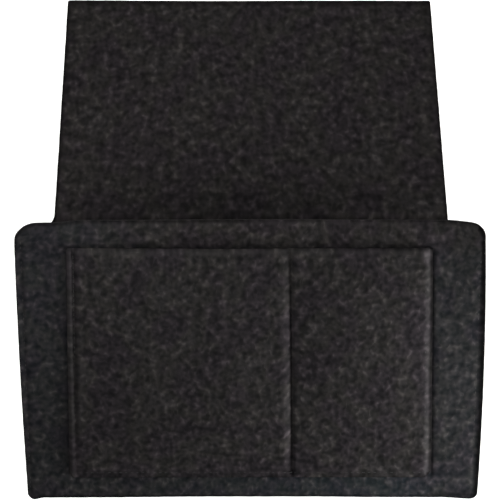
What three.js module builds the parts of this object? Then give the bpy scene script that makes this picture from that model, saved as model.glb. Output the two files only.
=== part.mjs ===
// Hanging bedside caddy in thick felt. A flap lies under the mattress and a flat pouch hangs from its fold.
// The pouch is a back panel and a front panel sewn together round three sides. A patch sewn on the front
// panel is divided by a seam into two open pockets. Each stitch row has a needle thread in front and a
// bobbin thread behind.
// Millimetres, +Z up. The fold line is the X axis, the flap lies towards +Y and the pouch faces -Y.

import * as THREE from 'three';

const { smoothstep, lerp } = THREE.MathUtils;

// Felt and thread
const feltThickness = 3;
const threadDiameter = 0.8;
const seatGap = 0.3; // between two pieces that lie on each other

// Flap
const flapWidth = 268;
const flapLength = 280; // from the fold line to the far edge

// Pouch
const panelWidth = 320; // at the corners
const panelHeight = 240;
const lipRise = 6; // from the flap's upper face to the front panel's top edge
const topCornerRadius = 14;
const bottomCornerRadius = 4;
const sideBow = 1.2; // swell of each side at mid height
const pouchDepth = 8; // clear space between the two panels
const seamMargin = 8; // sewn strip along an edge, where two layers lie flat on each other
const sideEase = 18; // strip where the back panel eases from its sewn side to the full depth
const bottomEase = 24; // the same above its sewn bottom

// Patch with the two pockets
const patchLeftInset = 34.2;
const patchRightInset = 36.4;
const patchTopInset = 21.7;
const patchBottomInset = 20.5;
const patchLeftFlare = 3; // how far the left side of the patch runs out from its top to its bottom
const patchRightFlare = 4; // the same on the right
const leftPocketWidth = 153.1; // from the patch's left edge to the divider row, at the top
const dividerLean = 2.5; // how far the divider row runs to the right from its top to its bottom
const pocketDepth = 5; // clear space behind the patch
const pocketEase = 14; // strip where the patch eases from a sewn edge to the full depth
const dividerLand = 6; // flat strip under the divider row

// Stitch rows
const seamInset = 3.2; // from the cut edge of both panels to the row beside it
const patchRowInset = 4.6; // from the cut edge of the patch to the row beside it

// Facets
const easeSteps = 6;
const sideSteps = 8;
const cornerSteps = 4;
const foldSteps = 12;
const threadSides = 8;

const feltColour = '#272525';
const threadColour = '#211f1f';

// Faces of the layers, from the bed side forward
const backRearY = -seatGap;
const backFrontY = backRearY - feltThickness;
const frontRearY = backFrontY - pouchDepth;
const frontFaceY = frontRearY - feltThickness;
const backSewnFrontY = frontRearY + seatGap;
const backSewnRearY = backSewnFrontY + feltThickness;
const patchSewnRearY = frontFaceY - seatGap;
const patchOpenRearY = frontFaceY - pocketDepth;

// Heights and sides
const lipZ = feltThickness + lipRise;
const pouchBottomZ = lipZ - panelHeight;
const backTopZ = -(feltThickness + seatGap); // clears the round of the fold at every angle
const panelHalf = panelWidth / 2;
const patchLeftX = -panelHalf + patchLeftInset;
const patchRightX = panelHalf - patchRightInset;
const patchTopZ = lipZ - patchTopInset;
const patchBottomZ = pouchBottomZ + patchBottomInset;
const dividerX = patchLeftX + leftPocketWidth;

function steps(from, to, count) {
  return Array.from({ length: count + 1 }, (_, k) => lerp(from, to, k / count));
}

function inOrder(values) {
  return [...new Set(values)].sort((a, b) => a - b);
}

function feltMesh(name, geometry) {
  const material = new THREE.MeshStandardMaterial({ color: feltColour, roughness: 0.95, metalness: 0 });
  const mesh = new THREE.Mesh(geometry, material);
  mesh.name = name;
  return mesh;
}

// A closed sheet of felt on a grid: face(column, row) is a point of its front face, and the rear face lies
// one felt thickness behind
function sheetGeometry(columns, rows, face) {
  const wide = columns.length;
  const layer = wide * rows.length;
  const positions = [];
  for (const depth of [0, feltThickness]) {
    for (const row of rows) {
      for (const column of columns) {
        const [x, y, z] = face(column, row);
        positions.push(x, y + depth, z);
      }
    }
  }
  const indices = [];
  const quad = (a, b, c, d) => indices.push(a, b, c, a, c, d);
  const at = (column, row) => row * wide + column;
  const lastColumn = wide - 1;
  const lastRow = rows.length - 1;
  for (let row = 0; row < lastRow; row += 1) {
    for (let column = 0; column < lastColumn; column += 1) {
      const a = at(column, row);
      const b = at(column + 1, row);
      const c = at(column + 1, row + 1);
      const d = at(column, row + 1);
      quad(a, b, c, d);
      quad(layer + a, layer + d, layer + c, layer + b);
    }
    const leftLow = at(0, row);
    const leftHigh = at(0, row + 1);
    quad(leftLow, leftHigh, layer + leftHigh, layer + leftLow);
    const rightLow = at(lastColumn, row);
    const rightHigh = at(lastColumn, row + 1);
    quad(rightLow, layer + rightLow, layer + rightHigh, rightHigh);
  }
  for (let column = 0; column < lastColumn; column += 1) {
    const lowLeft = at(column, 0);
    const lowRight = at(column + 1, 0);
    quad(lowLeft, layer + lowLeft, layer + lowRight, lowRight);
    const highLeft = at(column, lastRow);
    const highRight = at(column + 1, lastRow);
    quad(highLeft, highRight, layer + highRight, layer + highLeft);
  }
  const geometry = new THREE.BufferGeometry();
  geometry.setAttribute('position', new THREE.Float32BufferAttribute(positions, 3));
  geometry.setIndex(indices);
  return geometry;
}

// Outline shared by the front and back panels
function cornerCut(radius, rise) {
  return radius - Math.sqrt(Math.max(0, radius * radius - rise * rise));
}

function halfWidthAt(z) {
  const share = (z - (lipZ + pouchBottomZ) / 2) / (panelHeight / 2);
  const side = panelHalf + sideBow * (1 - share * share);
  const overTop = Math.max(0, z - (lipZ - topCornerRadius));
  const underBottom = Math.max(0, pouchBottomZ + bottomCornerRadius - z);
  return side - cornerCut(topCornerRadius, overTop) - cornerCut(bottomCornerRadius, underBottom);
}

// Rises of the rows that follow a rounded corner, measured from the edge it ends in
function cornerRises(radius) {
  return steps(0, Math.PI / 2, cornerSteps).map((angle) => radius * (1 - Math.cos(angle)));
}

const bottomCornerRows = cornerRises(bottomCornerRadius).map((rise) => pouchBottomZ + rise);

// Flap: a flat sheet whose near end is rounded about the fold line
function insertFlap() {
  const profile = new THREE.Shape();
  profile.moveTo(0, 0);
  profile.lineTo(flapLength, 0);
  profile.lineTo(flapLength, feltThickness);
  profile.lineTo(0, feltThickness);
  profile.absarc(0, 0, feltThickness, Math.PI / 2, 1.5 * Math.PI, false);
  profile.closePath();
  const geometry = new THREE.ExtrudeGeometry(profile, {
    depth: flapWidth,
    bevelEnabled: false,
    curveSegments: foldSteps,
  });
  geometry.translate(0, 0, -flapWidth / 2);
  const lengthAlongY = new THREE.Vector3(0, 1, 0);
  const thicknessAlongZ = new THREE.Vector3(0, 0, 1);
  const widthAlongX = new THREE.Vector3(1, 0, 0);
  geometry.applyMatrix4(new THREE.Matrix4().makeBasis(lengthAlongY, thicknessAlongZ, widthAlongX));
  return feltMesh('insert_flap', geometry);
}

// Front panel: flat, with rounded corners
function frontPanel() {
  const topCornerRows = cornerRises(topCornerRadius).map((rise) => lipZ - rise);
  const sideRows = steps(pouchBottomZ + bottomCornerRadius, lipZ - topCornerRadius, sideSteps);
  const rows = inOrder([...bottomCornerRows, ...sideRows, ...topCornerRows]);
  const face = (side, z) => [side * halfWidthAt(z), frontFaceY, z];
  return feltMesh('front_panel', sheetGeometry([-1, 1], rows, face));
}

// Back panel: flat against the bed, with its sides and bottom eased forward to the front panel
function backPanel() {
  const easeStart = panelHalf - seamMargin;
  const rightColumns = [panelHalf, ...steps(easeStart, easeStart - sideEase, easeSteps)];
  const columns = inOrder([...rightColumns, ...rightColumns.map((x) => -x)]);
  const easeTopZ = pouchBottomZ + seamMargin + bottomEase;
  const easeRows = steps(pouchBottomZ + seamMargin, easeTopZ, easeSteps);
  const sideRows = steps(easeTopZ, backTopZ, sideSteps);
  const rows = inOrder([...bottomCornerRows, ...easeRows, ...sideRows]);
  const face = (x, z) => {
    const fromSide = smoothstep(panelHalf - Math.abs(x), seamMargin, seamMargin + sideEase);
    const fromBottom = smoothstep(z - pouchBottomZ, seamMargin, seamMargin + bottomEase);
    const y = lerp(backSewnFrontY, backFrontY, fromSide * fromBottom);
    return [(x / panelHalf) * halfWidthAt(z), y, z];
  };
  return feltMesh('back_panel', sheetGeometry(columns, rows, face));
}

// Where a line down the patch that starts at x at its top has come to at the height z
function patchX(x, z) {
  const down = (patchTopZ - z) / (patchTopZ - patchBottomZ);
  const onLeft = x < dividerX;
  const from = onLeft ? patchLeftX : dividerX;
  const to = onLeft ? dividerX : patchRightX;
  const shiftFrom = onLeft ? -patchLeftFlare : dividerLean;
  const shiftTo = onLeft ? dividerLean : patchRightFlare;
  return x + down * lerp(shiftFrom, shiftTo, (x - from) / (to - from));
}

// Patch: sewn down at its sides, its bottom and the divider row, and open at the top
function pocketPanel() {
  const easeEnd = seamMargin + pocketEase;
  const landHalf = dividerLand / 2;
  const columns = inOrder([
    patchLeftX,
    ...steps(patchLeftX + seamMargin, patchLeftX + easeEnd, easeSteps),
    ...steps(dividerX - landHalf - pocketEase, dividerX - landHalf, easeSteps),
    ...steps(dividerX + landHalf, dividerX + landHalf + pocketEase, easeSteps),
    ...steps(patchRightX - easeEnd, patchRightX - seamMargin, easeSteps),
    patchRightX,
  ]);
  const easeRows = steps(patchBottomZ + seamMargin, patchBottomZ + easeEnd, easeSteps);
  const rows = inOrder([patchBottomZ, ...easeRows, patchTopZ]);
  const face = (x, z) => {
    const fromSides = smoothstep(Math.min(x - patchLeftX, patchRightX - x), seamMargin, easeEnd);
    const fromBottom = smoothstep(z - patchBottomZ, seamMargin, easeEnd);
    const fromDivider = smoothstep(Math.abs(x - dividerX), landHalf, landHalf + pocketEase);
    const rearY = lerp(patchSewnRearY, patchOpenRearY, fromSides * fromBottom * fromDivider);
    return [patchX(x, z), rearY - feltThickness, z];
  };
  return feltMesh('pocket_panel', sheetGeometry(columns, rows, face));
}

// A straight thread between two points of a stitch row, at the depth y
function threadMesh(name, [fromX, fromZ], [toX, toZ], y) {
  const from = new THREE.Vector3(fromX, y, fromZ);
  const to = new THREE.Vector3(toX, y, toZ);
  const radius = threadDiameter / 2;
  const geometry = new THREE.CylinderGeometry(radius, radius, from.distanceTo(to), threadSides);
  const material = new THREE.MeshStandardMaterial({ color: threadColour, roughness: 0.8, metalness: 0 });
  const mesh = new THREE.Mesh(geometry, material);
  mesh.name = name;
  mesh.position.addVectors(from, to).multiplyScalar(0.5);
  const along = new THREE.Vector3().subVectors(to, from).normalize();
  mesh.quaternion.setFromUnitVectors(new THREE.Vector3(0, 1, 0), along);
  return mesh;
}

// Both threads of a stitch row, one on the front of the layers and one on their rear
function stitchRow(name, from, to, layers) {
  const offFace = seatGap + threadDiameter / 2;
  return [
    threadMesh(`${name}_needle_thread`, from, to, layers.frontY - offFace),
    threadMesh(`${name}_bobbin_thread`, from, to, layers.rearY + offFace),
  ];
}

// Rows that join the front panel to the back panel
function pouchRows() {
  const layers = { frontY: frontFaceY, rearY: backSewnRearY };
  const sideX = panelHalf - seamInset;
  const bottomZ = pouchBottomZ + seamInset;
  const topZ = backTopZ - seamInset;
  const bottomEndX = sideX - threadDiameter / 2 - seatGap;
  return [
    ...stitchRow('left_side', [-sideX, bottomZ], [-sideX, topZ], layers),
    ...stitchRow('right_side', [sideX, bottomZ], [sideX, topZ], layers),
    ...stitchRow('bottom', [-bottomEndX, bottomZ], [bottomEndX, bottomZ], layers),
  ];
}

// Rows that join the patch to the front panel
function pocketRows() {
  const layers = { frontY: patchSewnRearY - feltThickness, rearY: frontRearY };
  const leftX = patchLeftX + patchRowInset;
  const rightX = patchRightX - patchRowInset;
  const bottomZ = patchBottomZ + patchRowInset;
  const topZ = patchTopZ - patchRowInset;
  const rowGap = threadDiameter + seatGap; // where one row ends beside another
  const at = (x, z) => [patchX(x, z), z];
  return [
    ...stitchRow('pocket_left', at(leftX, bottomZ), at(leftX, topZ), layers),
    ...stitchRow('pocket_right', at(rightX, bottomZ), at(rightX, topZ), layers),
    ...stitchRow('pocket_bottom', at(leftX + rowGap, bottomZ), at(rightX - rowGap, bottomZ), layers),
    ...stitchRow('pocket_divider', at(dividerX, bottomZ + rowGap), at(dividerX, topZ), layers),
  ];
}

const pouch = new THREE.Group();
pouch.add(backPanel(), frontPanel(), pocketPanel(), ...pouchRows(), ...pocketRows());

const caddy = new THREE.Group();
caddy.add(insertFlap(), pouch);

export default caddy;
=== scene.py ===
import math

import bpy
import numpy as np
from mathutils import Matrix, Vector

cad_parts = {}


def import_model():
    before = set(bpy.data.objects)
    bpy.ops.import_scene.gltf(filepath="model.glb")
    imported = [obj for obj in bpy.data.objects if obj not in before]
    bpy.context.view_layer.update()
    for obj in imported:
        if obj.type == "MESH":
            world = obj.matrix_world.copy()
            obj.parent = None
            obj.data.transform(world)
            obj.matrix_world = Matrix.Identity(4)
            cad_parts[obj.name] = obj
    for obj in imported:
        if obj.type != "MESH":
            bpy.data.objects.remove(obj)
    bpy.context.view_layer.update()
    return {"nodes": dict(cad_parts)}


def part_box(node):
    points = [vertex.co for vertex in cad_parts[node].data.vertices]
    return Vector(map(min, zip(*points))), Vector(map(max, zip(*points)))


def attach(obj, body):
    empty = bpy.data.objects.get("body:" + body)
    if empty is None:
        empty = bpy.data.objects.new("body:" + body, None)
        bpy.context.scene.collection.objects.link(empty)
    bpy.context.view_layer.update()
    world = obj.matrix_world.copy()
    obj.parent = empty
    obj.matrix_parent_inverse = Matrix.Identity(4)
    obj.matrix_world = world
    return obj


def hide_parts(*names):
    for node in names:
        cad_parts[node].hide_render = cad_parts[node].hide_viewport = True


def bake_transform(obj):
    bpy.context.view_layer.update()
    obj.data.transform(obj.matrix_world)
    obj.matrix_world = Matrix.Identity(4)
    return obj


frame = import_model()

# Bedside caddy in charcoal felt: a flap that lies under the mattress runs over a fold into the back of a
# flat pouch. The front panel is sewn to that back, and a patch with two pockets is sewn on the front panel.
# Metres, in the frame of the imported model: the fold line is the X axis and the pouch faces -Y.

MM = 0.001
HAIR = 1e-6  # smaller than any real distance here
TINY = 1e-9  # for rounding, and to keep a divisor off zero

# Felt
FELT = 3 * MM
EDGE_ROUND = 0.7 * MM
SEATED = 0.3 * MM  # between two layers that lie on each other
HOLLOWS = 7 * MM  # width of the shallow hollows in its faces
HOLLOW_DEPTH = 0.35 * MM
LAY_ALONG_FLAP = 0.55  # the fibres, so the speckle too, lie longer along the flap by 1 over this
LAY_DOWN = 0.82  # and longer down the hanging pieces by 1 over this
SHARP = 4  # power of a mark in the nap that ends sharply

# Spacing of the grid that the felt is shaped on
COARSE = 2.4 * MM  # on open felt
COARSE_ON_BACK = 3.2 * MM
IN_BANDS = 0.8 * MM
FINE_BY_EDGE = [step * MM for step in (0, 0.06, 0.22, 0.45, 0.75, 1.2, 1.8, 2.5, 3.3)]
FINE_BY_ROW = [step * MM for step in (0, 0.5, 1.0, 1.6, 2.3, 3.2, 4.3)]

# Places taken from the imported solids
_, flap_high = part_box("insert_flap")
_, back_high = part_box("back_panel")
panel_low, panel_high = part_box("front_panel")
patch_low, patch_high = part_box("pocket_panel")
SIDE_BOW = 1.2 * MM  # swell of the solids' sides
HUNG_BOW = 1.5 * MM  # swell of the hanging panels' sides
HANG_LEAN = 1.0 * MM  # the pouch hangs a little askew: its sides lean this far from upright
HANG_SWAY = 0.55 * MM  # and lie this far to the right at mid height
HANG_STRIP = 0.16  # share of the half width, beside each side, over which this sets in
PANEL_HALF = panel_high.x - SIDE_BOW
PANEL_MIDDLE_Z = (panel_low.z + panel_high.z) / 2
PANEL_HALF_HEIGHT = (panel_high.z - panel_low.z) / 2
TOP_CORNERS = (16 * MM, 11.5 * MM)  # left and right
BOTTOM_CORNERS = (6 * MM, 5.5 * MM)
PATCH_CORNERS = (4 * MM, 7 * MM)  # at the patch's bottom
FLAP_CORNER = 2 * MM

# Stitch rows, with the depth of the groove that each pulls into the front of the felt
STITCH_PITCH = 4 * MM
STITCH_LENGTH = 3.5 * MM
STITCH_SECTIONS = 8
STITCH_DIVE = 0.75 * MM  # how far its ends go down into the felt
STITCH_SUNK = 0.2 * MM  # how far its middle lies in the nap
THREAD = 0.6 * MM
THREAD_FLATTENED = 0.8
THREAD_SIDES = 6
THREAD_TWIST = math.radians(35)  # from one section to the next
GROOVE_WIDTH = 1.8 * MM
GROOVE_REAR = 0.3 * MM
GROOVES = {
    "left_side": 0.45 * MM,
    "right_side": 0.2 * MM,
    "bottom": 0.25 * MM,
    "pocket_left": 1.2 * MM,
    "pocket_right": 0.1 * MM,
    "pocket_bottom": 0.08 * MM,
    "pocket_divider": 1.7 * MM,
}


def read_points(mesh):
    """The points of a mesh, a row each."""
    at = np.zeros(len(mesh.vertices) * 3)
    mesh.vertices.foreach_get("co", at)
    return at.reshape(-1, 3)


def stitch_line(row):
    """The two ends of a stitch row as (x, z), the lower or left one first."""
    at = read_points(frame["nodes"][row + "_needle_thread"].data)
    along = 2 if np.ptp(at[:, 2]) > np.ptp(at[:, 0]) else 0
    middle = (at[:, along].min() + at[:, along].max()) / 2
    halves = (at[at[:, along] < middle], at[at[:, along] > middle])
    ends = [(half.min(0) + half.max(0)) / 2 for half in halves]
    return [(end[0], end[2]) for end in ends]


LINES = {row: stitch_line(row) for row in GROOVES}


def row_x(row, z):
    """Where an upright stitch row, run on if need be, is at the height z."""
    (x0, z0), (x1, z1) = LINES[row]
    return x0 + (x1 - x0) * (z - z0) / (z1 - z0)


# Grid lines and outlines

def eased(values, start, end):
    """0 before start, 1 after end, and smooth between."""
    share = np.clip((values - start) / (end - start), 0, 1)
    return share * share * (3 - 2 * share)


def grid_lines(low, high, edges=(), rows=(), bands=(), coarse=COARSE):
    """Places of the grid lines from low to high: even on open felt, closer at cut edges, at stitch rows and
    in bands. An edge is (place, direction into the felt), and a band is (from, to). Lines within a
    micrometre of each other are one."""
    fine = [place + direction * step for place, direction in edges for step in FINE_BY_EDGE]
    fine += [place + side * step for place in rows for step in FINE_BY_ROW for side in (-1, 1)]
    fine += [place for start, end in bands for place in np.arange(start, end, IN_BANDS)]
    fine = sorted({round(place, 6) for place in fine if low - TINY <= place <= high + TINY})
    even = np.linspace(low, high, round((high - low) / coarse) + 1)
    kept = [place for place in even if min(abs(place - line) for line in fine) > coarse / 2]
    return np.array(sorted({*kept, *fine}))


def round_a_corner(a, b, radius):
    """Distances from two edges that meet in a square corner, moved so that the corner is round. The grid
    lines that run round the corner keep their distance from the cut edge. With them come the lower of the
    two distances, and whether a point is near enough to the corner to move."""
    zone = 2 * radius
    level = np.minimum(a, b)
    reach = np.maximum(a, b)
    turn = np.maximum(radius - level, TINY)
    walked = (zone - reach) / np.maximum(zone - level, TINY) * (radius + math.pi / 4 * turn)
    angle = np.clip((walked - radius) / turn, 0, math.pi / 4)
    on_arc = walked > radius
    long_way = np.where(on_arc, radius - turn * np.sin(angle), zone - walked)
    short_way = np.where(on_arc, radius - turn * np.cos(angle), level)
    new_a = np.where(a <= b, short_way, long_way)
    new_b = np.where(a <= b, long_way, short_way)
    return new_a, new_b, level, reach < zone


def rounded(inset_a, inset_b, radius):
    """Insets from two edges, with the outer corner between them made round."""
    new_a, new_b, level, by_corner = round_a_corner(inset_a, inset_b, radius)
    moved = by_corner & (level < radius)
    return np.where(moved, new_a, inset_a), np.where(moved, new_b, inset_b)


def filleted(over_a, over_b, radius, fade):
    """The same for an inner corner. The felt lies where a point is not over both edges, and the corner is
    filled to a radius. The move fades out over the distance fade from the cut edge."""
    new_a, new_b, level, by_corner = round_a_corner(over_a, over_b, radius)
    moved = np.where(by_corner, 1 - eased(-level, 0, fade), 0)
    return over_a + moved * (new_a - over_a), over_b + moved * (new_b - over_b)


def panel_x(side, reach, z):
    """The sides of both panels swell at mid height, and lean as the pouch hangs."""
    share = (z - PANEL_MIDDLE_Z) / PANEL_HALF_HEIGHT
    by_side = np.clip((reach / PANEL_HALF - (1 - HANG_STRIP)) / HANG_STRIP, 0, 1)
    bow = 1 - share ** 2
    return side * (reach + HUNG_BOW * bow * by_side) + (HANG_SWAY * bow - HANG_LEAN * share) * by_side


def edge_share(inset):
    """Share of the felt's thickness by the distance from a cut edge, whose arrises are rounded."""
    over = np.clip(1 - inset / EDGE_ROUND, 0, 1)
    return 1 - 2 * EDGE_ROUND / FELT * (1 - np.sqrt(1 - over * over))


def near(distance, width, power=2):
    """1 at a line, falling to 0 beside it."""
    return np.exp(-((np.abs(distance) / width) ** power))


def beside_row(x, z, row, width=GROOVE_WIDTH, run_on=0):
    """1 on a stitch row, which may run on past its upper end, falling to 0 beside it."""
    (x0, z0), (x1, z1) = LINES[row]
    length = math.hypot(x1 - x0, z1 - z0)
    along_x, along_z = (x1 - x0) / length, (z1 - z0) / length
    walked = np.clip((x - x0) * along_x + (z - z0) * along_z, 0, length + run_on)
    off = np.hypot(x - x0 - walked * along_x, z - z0 - walked * along_z)
    return near(off, width)


# Felt pieces

def flat_felt(name, across, along):
    """A flat grid of felt with a line at each place across and along."""
    bpy.ops.object.select_all(action="DESELECT")
    bpy.ops.mesh.primitive_grid_add(x_subdivisions=len(across) - 1, y_subdivisions=len(along) - 1, size=2)
    felt = bpy.context.object
    felt.name = name
    felt.data.name = name
    at = read_points(felt.data)
    column = np.rint((at[:, 0] + 1) / 2 * (len(across) - 1)).astype(int)
    row = np.rint((at[:, 1] + 1) / 2 * (len(along) - 1)).astype(int)
    write_points(felt, across[column], along[row], np.zeros(len(at)))
    return felt


def write_points(felt, x, y, z):
    """Moves the points of a piece."""
    at = np.column_stack([x, y, z])
    felt.data.vertices.foreach_set("co", at.ravel())
    felt.data.update()


def cut_away(felt, outside):
    """Cuts off the part of a flat grid whose points are outside."""
    bpy.ops.object.mode_set(mode="EDIT")
    bpy.ops.mesh.select_all(action="DESELECT")
    bpy.ops.object.mode_set(mode="OBJECT")
    felt.data.vertices.foreach_set("select", outside)
    bpy.ops.object.mode_set(mode="EDIT")
    bpy.ops.mesh.delete(type="VERT")
    bpy.ops.object.mode_set(mode="OBJECT")


def face_forward(felt):
    """Turns the faces of an open sheet to -Y."""
    if felt.data.polygons[0].normal.y > 0:
        bpy.ops.object.mode_set(mode="EDIT")
        bpy.ops.mesh.select_all(action="SELECT")
        bpy.ops.mesh.flip_normals()
        bpy.ops.object.mode_set(mode="OBJECT")


def apply(piece, kind, **settings):
    """Adds a modifier with its settings and applies it."""
    modifier = piece.modifiers.new(kind.title(), kind)
    for key, value in settings.items():
        setattr(modifier, key, value)
    bpy.context.view_layer.objects.active = piece
    bpy.ops.object.modifier_apply(modifier=modifier.name)


uneven = bpy.data.textures.new("felt_unevenness", "CLOUDS")
uneven.noise_scale = HOLLOWS
uneven.noise_depth = 2


def thicken(felt, share, lay, **nap):
    """Gives a bent sheet its thickness, share being each point's part of it, and felt's uneven faces. At each
    point, lay is the place on the flat felt. The nap comes as shares from 0 to 1: pressed is how
    much pressed nap and painted shade darken it, worn is how much a painted highlight pales it, and
    cool is how blue a tint it has."""
    group = felt.vertex_groups.new(name="thickness")
    for level in np.unique(share):
        group.add(np.flatnonzero(share == level).tolist(), float(level), "REPLACE")
    for name, level in nap.items():
        written = felt.data.attributes.new(name, "FLOAT", "POINT")
        written.data.foreach_set("value", np.clip(level, 0, 1))
    flat = felt.data.attributes.new("lay", "FLOAT_VECTOR", "POINT")
    flat.data.foreach_set("vector", np.column_stack(lay).ravel())
    felt.data.materials.append(felt_face)
    felt.data.materials.append(felt_cut)
    apply(
        felt,
        "SOLIDIFY",
        thickness=FELT,
        offset=0,
        vertex_group="thickness",
        thickness_vertex_group=0,
        material_offset_rim=1,
    )
    apply(felt, "DISPLACE", texture=uneven, texture_coords="LOCAL", strength=HOLLOW_DEPTH, mid_level=0.5)
    bpy.ops.object.shade_smooth()


# Materials

def colour(code):
    """An sRGB hex code as linear RGBA."""
    parts = [int(code[k:k + 2], 16) / 255 for k in (1, 3, 5)]
    return [*(p / 12.92 if p <= 0.04045 else ((p + 0.055) / 1.055) ** 2.4 for p in parts), 1]


def add(tree, kind, settings=None, links=None):
    """Adds a node. A link is a value for the input, or the output that feeds it."""
    node = tree.nodes.new("ShaderNode" + kind)
    for key, value in (settings or {}).items():
        setattr(node, key, value)
    for key, value in (links or {}).items():
        if isinstance(value, bpy.types.NodeSocket):
            tree.links.new(value, node.inputs[key])
        else:
            node.inputs[key].default_value = value
    return node


def new_material(name):
    """A material with no nodes yet, and its tree."""
    material = bpy.data.materials.new(name)
    material.use_nodes = True
    material.node_tree.nodes.clear()
    return material, material.node_tree


def shades(ramp, stops):
    """Sets a colour ramp to (place, colour) stops."""
    elements = ramp.color_ramp.elements
    while len(elements) < len(stops):
        elements.new(0.5)
    for element, (place, shade) in zip(elements, stops):
        element.position = place
        element.color = colour(shade)


# Needle-punched felt of charcoal wool and polyester, pressed flat. Dark and pale fibres lie in tufts of about
# 3 mm, so the face is speckled and dry, with no gloss. It is darker where the nap is pressed down at the stitch
# rows and in strips along its cut edges. Painted shade darkens it at the fold, round the patch, above the pockets
# and at the top of the front panel's right margin, and painted highlights make it paler along rolled edges.
# Fibres of violet and of green grey drift through it, and parts of the front panel have a bluer tint. Single
# fibres are far too fine to show, so they are drawn as flecks and as curled pale strands about 1 mm wide.
TUFTS = 6 * MM  # a pale and a dark one, with finer ones of half the size in them
FLECKS = 3.4 * MM
CURLS = 6.2 * MM
DRIFTS = 26 * MM
NAP_HEIGHT = 0.75 * MM


def felt_face_material(name):
    material, tree = new_material(name)
    place = add(tree, "Attribute", {"attribute_name": "lay"}).outputs["Vector"]
    tuft = add(
        tree,
        "TexNoise",
        links={"Vector": place, "Scale": 1 / TUFTS, "Detail": 1.0, "Roughness": 0.7, "Distortion": 0.0},
    )
    fleck = add(
        tree,
        "TexNoise",
        links={"Vector": place, "Scale": 1 / FLECKS, "Detail": 0.5, "Roughness": 0.5, "Distortion": 0.3},
    )
    flecks = add(tree, "Math", {"operation": "MULTIPLY"}, {0: fleck.outputs["Fac"], 1: 0.25})
    nap = add(
        tree,
        "Math",
        {"operation": "MULTIPLY_ADD"},
        {0: tuft.outputs["Fac"], 1: 0.75, 2: flecks.outputs["Value"]},
    ).outputs["Value"]
    curl = add(
        tree,
        "TexNoise",
        links={"Vector": place, "Scale": 1 / CURLS, "Detail": 0.5, "Roughness": 0.5, "Distortion": 0.6},
    )
    beside = add(tree, "Math", {"operation": "SUBTRACT"}, {0: curl.outputs["Fac"], 1: 0.52})
    off_strand = add(tree, "Math", {"operation": "ABSOLUTE"}, {0: beside.outputs["Value"]})
    strand = add(
        tree,
        "MapRange",
        links={"Value": off_strand.outputs["Value"], "From Max": 0.05, "To Min": 0.08, "To Max": 0.0},
    )
    scattered = add(tree, "MapRange", links={"Value": fleck.outputs["Fac"], "From Min": 0.42, "From Max": 0.62})
    stranded = add(
        tree,
        "Math",
        {"operation": "MULTIPLY_ADD"},
        {0: strand.outputs["Result"], 1: scattered.outputs["Result"], 2: nap},
    )
    nap_shade = add(tree, "ValToRGB", links={"Fac": stranded.outputs["Value"]})
    shades(nap_shade, [(0.28, "#131212"), (0.42, "#1b1a1a"), (0.58, "#272525"), (0.72, "#373434")])
    drift = add(tree, "TexNoise", links={"Vector": place, "Scale": 1 / DRIFTS, "Detail": 1.0})
    drift_shade = add(tree, "ValToRGB", links={"Fac": drift.outputs["Fac"]})
    shades(drift_shade, [(0.36, "#eee7f1"), (0.46, "#f7f1f8"), (0.54, "#f8f8f2"), (0.64, "#ffffff")])
    drifted = add(
        tree,
        "Mix",
        {"data_type": "RGBA", "blend_type": "MULTIPLY"},
        {0: 1.0, 6: nap_shade.outputs["Color"], 7: drift_shade.outputs["Color"]},
    )
    cool = add(tree, "Attribute", {"attribute_name": "cool"}).outputs["Fac"]
    cooled = add(
        tree,
        "Mix",
        {"data_type": "RGBA", "blend_type": "ADD"},
        {0: cool, 6: drifted.outputs[2], 7: colour("#000b10")},
    )
    # Pressed nap and painted shade: this attribute multiplies the colour darker
    pressed = add(tree, "Attribute", {"attribute_name": "pressed"}).outputs["Fac"]
    shade = add(
        tree,
        "Mix",
        {"data_type": "RGBA", "blend_type": "MULTIPLY"},
        {0: pressed, 6: cooled.outputs[2], 7: colour("#595959")},
    )
    # Painted highlight: this attribute adds a pale colour
    worn = add(tree, "Attribute", {"attribute_name": "worn"}).outputs["Fac"]
    paled = add(
        tree,
        "Mix",
        {"data_type": "RGBA", "blend_type": "ADD"},
        {0: worn, 6: shade.outputs[2], 7: colour("#302f2f")},
    )
    dryness = add(
        tree,
        "MapRange",
        links={"Value": nap, "From Min": 0.2, "From Max": 0.8, "To Min": 0.98, "To Max": 0.88},
    )
    bump = add(tree, "Bump", links={"Distance": NAP_HEIGHT, "Height": stranded.outputs["Value"], "Strength": 1.0})
    shader = add(
        tree,
        "BsdfPrincipled",
        links={
            "Base Color": paled.outputs[2],
            "Roughness": dryness.outputs["Result"],
            "IOR": 1.5,
            "Specular IOR Level": 0.015,
            "Sheen Weight": 0.01,
            "Sheen Roughness": 0.6,
            "Sheen Tint": colour("#8e8b8c"),
            "Normal": bump.outputs["Normal"],
        },
    )
    add(tree, "OutputMaterial", links={"Surface": shader.outputs["BSDF"]})
    return material


# The same felt at its cut edges, darker than the face, with a grain across its thickness that is drawn
# about 1 mm wide.
CUT_GRAIN = 2.4 * MM  # a pale and a dark line of it, with finer ones in them
CUT_GRAIN_HEIGHT = 0.5 * MM


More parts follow.
